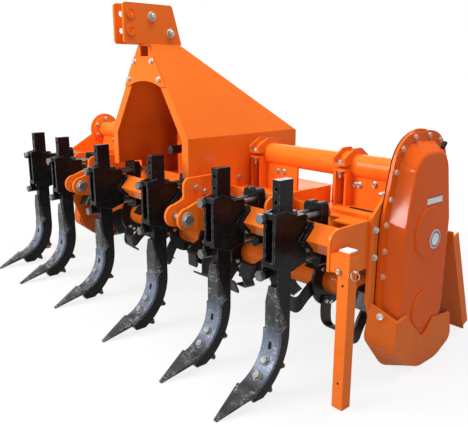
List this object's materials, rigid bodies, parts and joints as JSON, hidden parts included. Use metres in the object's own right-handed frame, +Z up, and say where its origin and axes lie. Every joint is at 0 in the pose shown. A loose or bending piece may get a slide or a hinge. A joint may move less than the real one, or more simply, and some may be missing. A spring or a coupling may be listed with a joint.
{
  "type": "rotary tiller",
  "caption": "Tractor-mounted rotary tiller with a three-point headstock, side gear drive, bladed rotor, hinged rear board, parking stands and a clamped bar of curved ripper tines.",
  "frame": {"origin": "on the floor, under the middle of the whole machine", "axes": "+X across the machine towards the gear case, +Y from the tractor to the rear, +Z up"},
  "size_m": [2.26, 1.1866, 1.285],
  "materials": {
    "orange_paint": "gloss orange paint on welded sheet and plate",
    "black_paint": "satin black paint on forged and cut steel",
    "share_steel": "dark enamel on curved wearing steel",
    "zinc": "zinc plated fasteners and pins",
    "gear_iron": "orange painted casting",
    "blade_steel": "black forged blade steel",
    "stub_steel": "oiled splined shaft steel"
  },
  "bodies": {
    "frame": {"side_plate_right": "orange_paint", "side_plate_left": "orange_paint", "deck": "orange_paint", "front_apron": "orange_paint", "rear_skirt": "orange_paint", "cross_tubes": "orange_paint", "tube_flanges": "orange_paint", "tube_collars": "orange_paint", "tube_uprights": "orange_paint", "tool_bar": "orange_paint", "bar_arm_right": "orange_paint", "bar_arm_left": "orange_paint", "bar_braces": "orange_paint", "hitch_cheeks": "orange_paint", "hitch_ears": "orange_paint", "hitch_pins": "zinc", "hood_side_right": "orange_paint", "hood_side_left": "orange_paint", "hood_back": "orange_paint", "hood_gusset": "orange_paint", "link_plates": "orange_paint", "link_spacers": "orange_paint", "gearbox": "gear_iron", "case_flange": "gear_iron", "case_cover": "gear_iron", "bearing_hub": "gear_iron", "skid_guard": "orange_paint", "skid_runner": "orange_paint", "hinge_rod": "zinc", "hinge_lugs": "orange_paint", "stand_sleeves": "orange_paint", "shank_1": "black_paint", "share_1": "share_steel", "shank_2": "black_paint", "share_2": "share_steel", "shank_3": "black_paint", "share_3": "share_steel", "shank_4": "black_paint", "share_4": "share_steel", "shank_5": "black_paint", "share_5": "share_steel", "shank_6": "black_paint", "share_6": "share_steel", "clamps": "black_paint", "clamp_jaws": "black_paint", "clamp_rods": "zinc"},
    "rotor": {"rotor_tube": "orange_paint", "rotor_gangs": "blade_steel"},
    "pto": {"pto_stub": "stub_steel"},
    "board": {"rear_board": "orange_paint"},
    "leg_right": {"stand_leg_right": "orange_paint"},
    "leg_left": {"stand_leg_left": "orange_paint"}
  },
  "joints": [
    {"name": "rotor_spin", "type": "hinge", "parent": "frame", "child": "rotor", "pos_m": [0, 0.16616, 0.218], "axis": [1, 0, 0], "continuous": true},
    {"name": "pto_spin", "type": "hinge", "parent": "frame", "child": "pto", "pos_m": [0, -0.01584, 0.684], "axis": [0, -1, 0], "continuous": true},
    {"name": "board_swing", "type": "hinge", "parent": "frame", "child": "board", "pos_m": [0, 0.38816, 0.468], "axis": [1, 0, 0], "range_deg": [0, 60]},
    {"name": "stand_right_slide", "type": "slide", "parent": "frame", "child": "leg_right", "axis": [0, 0, 1], "range_m": [0, 0.3]},
    {"name": "stand_left_slide", "type": "slide", "parent": "frame", "child": "leg_left", "axis": [0, 0, 1], "range_m": [0, 0.3]}
  ],
  "couplings": [
    {"joint": "pto_spin", "follows": "rotor_spin", "ratio": 2.45}
  ]
}
